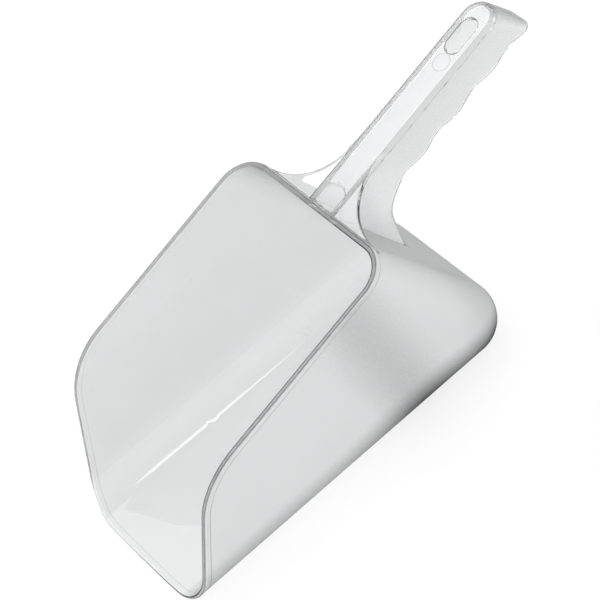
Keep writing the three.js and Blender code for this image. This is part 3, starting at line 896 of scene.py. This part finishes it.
# Finish: least and most roughness of polished faces and what frost adds, then noise scales and depths
POLISHED, FROSTED = (0.01, 0.03), (0.36, 0.44)
HAZE, CLOUD_SPAN = 0.3, (0.3, 0.7)
CLOUD_SCALE, WAVE_SCALE, SAND_SCALE = 60.0, 35.0, 1500.0
WAVE_DEPTH, SAND_DEPTH = 0.00006, 0.00008

# Places in metres of the painted shade, and the share of the light that each swallows: steep faces, the
# bowl's foot, a band across the side walls, the webs, the handle's end, the back corner, the edge lines
# and the bowl's outside seen through the wall; also the grain, the gate's ring and the specks
EDGE_POWER, EDGE_PAINTED_SHADE = 2.5, 0.5
FOOT_HEIGHTS, FOOT_ALONG, FOOT_PAINTED_SHADE = (0.008, 0.032), (-0.06, 0.03), (0.42, 0.75)
BAND_LEAN, BAND_AT, BAND_WIDTH, BAND_PAINTED_SHADE = 0.19, 0.004, 0.021, 0.29
WEB_ALONG, WEB_PAINTED_SHADE = (0.045, 0.065), (0.12, 0.205)
END_TURN, END_PAINTED_SHADE = (0.3, 0.9), (0.0, 0.27)
CORNER_ACROSS, CORNER_ALONG = (0.028, 0.05), (0.035, 0.05)
CORNER_HEIGHTS, CORNER_PAINTED_SHADE = (0.02, 0.07), (0.35, 0.0)
INNER_LINE, INNER_ACROSS, INNER_PAINTED_SHADE = 0.5, (-0.02, 0.04), (0.1, 1.3)
GRAIN, BOWL_DEEPER = 0.25, 0.35
FLOOR_HEIGHTS, BEHIND_PAINTED_SHADE = (0.0, 0.006), (0.135, 0.10)
GATE, GATE_RADIUS, GATE_LINE, GATE_DARK = (0.0, 0.1087, 0.1374), 0.005, 0.0003, 0.2
SPECK_SCALE, SPECK_SIZE, SPECK_DARK = 45.0, 0.012, 0.35
DEEPEST, DEEP_PASS = 6.5, 0.9


def finish_of(n, b, where, frost):
    """Roughness in faint clouds, frost's haze, and a bump of flow waves and the mould's grain.
    Returns the grain.
    """
    cloud = n.noise(where, CLOUD_SCALE, 3.0)
    frosting = n.product(frost, n.ramp(cloud, *CLOUD_SPAN, *FROSTED))
    n.link(n.total(n.ramp(cloud, *CLOUD_SPAN, *POLISHED), frosting), b.inputs["Roughness"])
    n.link(n.rest(n.product(frost, HAZE)), b.inputs["Transmission Weight"])
    sand = n.noise(where, SAND_SCALE)
    height = n.total(n.product(n.noise(where, WAVE_SCALE), WAVE_DEPTH), n.product(sand, frost, SAND_DEPTH))
    bump = n.add("ShaderNodeBump", {"Height": height, "Strength": 1.0, "Distance": 1.0})
    n.link(bump.outputs[0], b.inputs["Normal"])
    return sand


def painted_shade_and_grain_front(n, place, frost, sand, from_inside, path):
    """Share of the light lost to painted shade on faces seen from outside: steep ones, the bowl's foot,
    band and back corner, the webs, the handle's end and the painted dark edge lines; with them the
    grain's random tone. It fades after the first face that a ray has passed.
    """
    shade = n.mark("shade")
    line = n.mark("line")
    facing = n.add("ShaderNodeLayerWeight", {"Blend": 0.5}).outputs["Facing"]
    normal = n.add("ShaderNodeNewGeometry").outputs["Normal"]
    turned_back = n.add("ShaderNodeSeparateXYZ", {"Vector": normal}).outputs["Y"]
    # Painted shade: steep faces, the bowl's foot, a band across the side walls, webs darker farther along
    # the handle and a darker handle end where it faces +Y
    edge = n.product(n.math("POWER", facing, EDGE_POWER), EDGE_PAINTED_SHADE)
    low = n.rest(n.ramp(place["Z"], *FOOT_HEIGHTS, shape="SMOOTHSTEP"))
    foot = n.product(low, n.ramp(place["Y"], *FOOT_ALONG, *FOOT_PAINTED_SHADE))
    off = n.product(n.total(place["Y"], n.product(place["Z"], BAND_LEAN), -BAND_AT), 1 / BAND_WIDTH)
    band = n.product(n.math("POWER", 2.718, n.product(off, off, -1.0)), BAND_PAINTED_SHADE)
    web = n.total(n.ramp(place["Y"], *WEB_ALONG, *WEB_PAINTED_SHADE), n.ramp(turned_back, *END_TURN, *END_PAINTED_SHADE))
    grain = n.product(n.total(sand, -0.5), GRAIN)
    outside = n.product(frost, n.rest(from_inside))
    bowl_painted_shade, handle_painted_shade = n.product(shade, n.total(foot, band)), n.product(n.rest(shade), web)
    skin = n.product(outside, n.total(bowl_painted_shade, handle_painted_shade, grain))
    # Painted shade at the back corner on the +X side, strongest low down
    corner = n.product(n.ramp(place["X"], *CORNER_ACROSS), n.ramp(place["Y"], *CORNER_ALONG))
    corner = n.product(corner, n.ramp(place["Z"], *CORNER_HEIGHTS, *CORNER_PAINTED_SHADE), facing, shade, outside)
    # Painted dark lines along the edges; the rim's inner line is stronger on the +X side
    outer_line = n.rest(n.math("GREATER_THAN", line, INNER_LINE))
    strength = n.math("MAXIMUM", outer_line, n.ramp(place["X"], *INNER_ACROSS, *INNER_PAINTED_SHADE))
    front = n.total(n.math("MAXIMUM", edge, skin), corner, n.product(line, strength))
    first = n.ramp(path["Transmission Depth"], 0.0, 1.0, 1.0, 0.0)
    return n.product(front, n.math("MAXIMUM", first, n.product(shade, BOWL_DEEPER)))


def painted_shade_and_specks_behind(n, where, place, from_inside):
    """Share of the light lost on the far faces: painted shade on the bowl's outside seen through the
    wall, a little darker at the floor, the ring of the mould's gate under the handle and a few specks in
    the plastic.
    """
    # Painted shade on the bowl's outside seen from within
    bowl_far_painted_shade = n.product(n.mark("shade"), from_inside, n.ramp(place["Z"], *FLOOR_HEIGHTS, *BEHIND_PAINTED_SHADE))
    gate = n.add("ShaderNodeVectorMath", {0: where, 1: GATE}, operation="DISTANCE").outputs["Value"]
    ring = n.math("LESS_THAN", n.math("ABSOLUTE", n.total(gate, -GATE_RADIUS)), GATE_LINE)
    cells = n.add("ShaderNodeTexVoronoi", {"Vector": where, "Scale": SPECK_SCALE})
    speck = n.product(n.math("LESS_THAN", cells.outputs["Distance"], SPECK_SIZE), SPECK_DARK)
    return n.total(bowl_far_painted_shade, n.product(ring, from_inside, GATE_DARK), speck)


def plastic():
    """Clear plastic, polished or, where the mesh's frost mark is 1, finely frosted. Shadow rays and
    rays that have crossed many faces pass straight through.
    """
    mat = bpy.data.materials.new("Clear polycarbonate")
    mat.use_nodes = True
    n = Nodes(mat.node_tree)
    output = mat.node_tree.nodes["Material Output"]
    b = mat.node_tree.nodes["Principled BSDF"]
    b.inputs["IOR"].default_value = REFRACTION
    b.inputs["Base Color"].default_value = (*bpy.context.scene.scoop_looks.tint, 1)
    where = n.add("ShaderNodeTexCoord").outputs["Object"]
    place = n.add("ShaderNodeSeparateXYZ", {"Vector": where}).outputs
    from_inside = n.add("ShaderNodeNewGeometry").outputs["Backfacing"]
    path = n.add("ShaderNodeLightPath").outputs
    frost = n.mark("frost")
    sand = finish_of(n, b, where, frost)
    front = painted_shade_and_grain_front(n, place, frost, sand, from_inside, path)
    # Painted shade, with the grain and the specks, sends this share of the light to the dark diffuse
    lost = n.math("ADD", front, painted_shade_and_specks_behind(n, where, place, from_inside), clamp=True)
    dark = n.add("ShaderNodeBsdfDiffuse", {"Color": PAINTED_SHADE_AND_SPECK_COLOUR})
    body = n.add("ShaderNodeMixShader", {0: lost, 1: b.outputs[0], 2: dark.outputs[0]})
    clear = n.add("ShaderNodeBsdfTransparent", {"Color": (DEEP_PASS, DEEP_PASS, DEEP_PASS, 1)})
    passes = n.math("MAXIMUM", path["Is Shadow Ray"], n.math("GREATER_THAN", path["Ray Depth"], DEEPEST))
    n.link(n.add("ShaderNodeMixShader", {0: passes, 1: body.outputs[0], 2: clear.outputs[0]}).outputs[0],
           output.inputs["Surface"])
    smoke = n.add("ShaderNodeVolumeAbsorption", {"Color": SMOKE_COLOUR, "Density": SMOKE_DENSITY})
    n.link(smoke.outputs[0], output.inputs["Volume"])
    return mat


# Stage


FLOOR_HALF, FLOOR_GAP = 3.0, 0.0002


class SCOOP_OT_stage(bpy.types.Operator):
    """Builds the floor, the lights and the camera"""

    bl_idname = "scoop.stage"
    bl_label = "Stage"

    def execute(self, context):
        scene = context.scene
        s = form()
        me = bpy.data.meshes.new("floor")
        r, z = FLOOR_HALF, -FLOOR_GAP
        me.from_pydata([(-r, -r, z), (r, -r, z), (r, r, z), (-r, r, z)], [], [(0, 1, 2, 3)])
        floor = bpy.data.objects.new("floor", me)
        scene.collection.objects.link(floor)
        me.materials.append(floor_material())
        studio_world(scene)
        for lamp in LAMPS:
            area_lamp(scene, *lamp)
        scene.view_settings.view_transform = "Standard"
        camera(scene, s)
        return {"FINISHED"}


# Lamps: name, place, target, width, height and power
LAMPS = (
    ("key", (-1.05, 0.05, 1.2), (0, 0, 0.08), 1.5, 1.1, 6.0),
    ("strip", (-0.45, 0.3, 1.4), (0, 0, 0.05), 0.14, 1.1, 2.4),
    ("side", (0.75, 0.95, 0.45), (0, 0, 0.06), 0.5, 0.5, 4.5),
)


def area_lamp(scene, name, place, target, width, height, power):
    """A rectangular lamp at place that points at target."""
    data = bpy.data.lights.new(name, "AREA")
    data.shape, data.size, data.size_y, data.energy = "RECTANGLE", width, height, power
    ob = bpy.data.objects.new(name, data)
    scene.collection.objects.link(ob)
    ob.location = place
    ob.rotation_mode = "QUATERNION"
    ob.rotation_quaternion = (Vector(target) - Vector(place)).to_track_quat("-Z", "Y")


def seen(n):
    """1 for rays that the camera sends, also through or off clear plastic."""
    path = n.add("ShaderNodeLightPath")
    both = n.math("MAXIMUM", path.outputs["Is Camera Ray"], path.outputs["Is Transmission Ray"])
    return n.math("MAXIMUM", both, path.outputs["Is Glossy Ray"])


# Floor: the grey that takes the shadow and the glow that makes it white for rays that are seen, and its
# colour for all other light
SHADOW_SHARE, FLOOR_GLOW, FLOOR_PLAIN, FLOOR_ROUGH = 0.3, 0.72, 0.8, 0.9

# World: light from the horizon, and from SKY_TOP up
SKY_TOP, SKY_LOW, SKY_HIGH = 0.6, 1.0, 0.7


def floor_material():
    """White where it is seen, with the object's shadow, and plain for light that it throws back."""
    mat = bpy.data.materials.new("Floor")
    mat.use_nodes = True
    n = Nodes(mat.node_tree)
    b = mat.node_tree.nodes["Principled BSDF"]
    b.inputs["Base Color"].default_value = (SHADOW_SHARE, SHADOW_SHARE, SHADOW_SHARE, 1)
    b.inputs["Roughness"].default_value = FLOOR_ROUGH
    b.inputs["Specular IOR Level"].default_value = 0.0
    white = n.add("ShaderNodeEmission", {"Color": (1, 1, 1, 1), "Strength": FLOOR_GLOW})
    total = n.add("ShaderNodeAddShader", {0: b.outputs[0], 1: white.outputs[0]})
    plain = n.add("ShaderNodeBsdfDiffuse", {"Color": (FLOOR_PLAIN, FLOOR_PLAIN, FLOOR_PLAIN, 1)})
    mix = n.add("ShaderNodeMixShader", {0: seen(n), 1: plain.outputs[0], 2: total.outputs[0]})
    mat.node_tree.links.new(mix.outputs[0], mat.node_tree.nodes["Material Output"].inputs["Surface"])
    return mat


def studio_world(scene):
    """White to the camera. For light and reflections it is white near the horizon and grey above."""
    world = bpy.data.worlds.new("Studio")
    scene.world = world
    world.use_nodes = True
    n = Nodes(world.node_tree)
    ray = n.add("ShaderNodeTexCoord").outputs["Generated"]
    up = n.add("ShaderNodeSeparateXYZ", {"Vector": ray}).outputs["Z"]
    level = n.ramp(up, 0.0, SKY_TOP, SKY_LOW, SKY_HIGH)
    grey = n.add("ShaderNodeCombineColor", {"Red": level, "Green": level, "Blue": level}).outputs[0]
    path = n.add("ShaderNodeLightPath")
    seen_ray = path.outputs["Is Camera Ray"]
    mix = n.add("ShaderNodeMix", {0: seen_ray, 6: grey, 7: (1, 1, 1, 1)}, data_type="RGBA")
    world.node_tree.links.new(mix.outputs[2], world.node_tree.nodes["Background"].inputs["Color"])


# Camera, fitted to the photograph in the handle's frame: its tilt, yaw and roll, the point it aims
# at, how far it is moved right, down and back from there, all in steps of CAMERA_SCALE millimetres,
# and its long lens
CAMERA_TURNS = radians(48.70061), radians(0.45371), radians(-50.47453)
CAMERA_AIM, CAMERA_SHIFTS, CAMERA_SCALE = (0, -60.0, -40.0), (-8.93665, 5.83543, 1708.811), 0.823
SENSOR, FOCUS_PIXELS, PICTURE_PIXELS = 36.0, 2787.0, 600


def camera(scene, s):
    """A long lens from the right, above and slightly in front, rolled so that the handle points up
    to the right.
    """
    tilt, yaw, roll = CAMERA_TURNS
    right, down, near = CAMERA_SHIFTS
    v = np.array([-cos(tilt) * cos(yaw), cos(tilt) * sin(yaw), -sin(tilt)])
    y = np.array([0, 1.0, 0])
    y = y - v * (y @ v)
    y /= np.linalg.norm(y)
    p = np.cross(v, y)
    r = y * cos(roll) - p * sin(roll)
    d = y * sin(roll) + p * cos(roll)
    eye = np.array(CAMERA_AIM) - right * r - down * d - near * v
    zero = handle_point(s, 0, 0, 0)

    def turn(a):
        return handle_point(s, *a) - zero

    place = (handle_point(s, *(eye * CAMERA_SCALE)) + (0, s.shift, 0)) * MM
    data = bpy.data.cameras.new("Camera")
    data.sensor_width, data.lens = SENSOR, FOCUS_PIXELS / PICTURE_PIXELS * SENSOR
    data.clip_start, data.clip_end = 0.05, 20
    cam = bpy.data.objects.new("Camera", data)
    scene.collection.objects.link(cam)
    basis = np.stack([turn(r), -turn(d), -turn(v)], 1)
    m = Matrix(basis.tolist()).to_4x4()
    m.translation = Vector(place)
    cam.matrix_world = m
    scene.camera = cam


class SCOOP_PT_panel(bpy.types.Panel):
    bl_label = "Scoop"
    bl_idname = "SCOOP_PT_panel"
    bl_space_type = "VIEW_3D"
    bl_region_type = "UI"
    bl_category = "Scoop"

    def draw(self, context):
        for group in (context.scene.scoop_sizes, context.scene.scoop_looks):
            for key in type(group).__annotations__:
                self.layout.prop(group, key)
        self.layout.operator("scoop.moulding")
        self.layout.operator("scoop.stage")


CLASSES = (ScoopSizes, ScoopLooks, SCOOP_OT_moulding, SCOOP_OT_stage, SCOOP_PT_panel)


def register():
    for c in CLASSES:
        bpy.utils.register_class(c)
    bpy.types.Scene.scoop_sizes = PointerProperty(type=ScoopSizes)
    bpy.types.Scene.scoop_looks = PointerProperty(type=ScoopLooks)


def unregister():
    del bpy.types.Scene.scoop_looks
    del bpy.types.Scene.scoop_sizes
    for c in reversed(CLASSES):
        bpy.utils.unregister_class(c)


def main():
    register()
    bpy.ops.scoop.moulding()
    bpy.ops.scoop.stage()


if __name__ == "__main__":
    main()
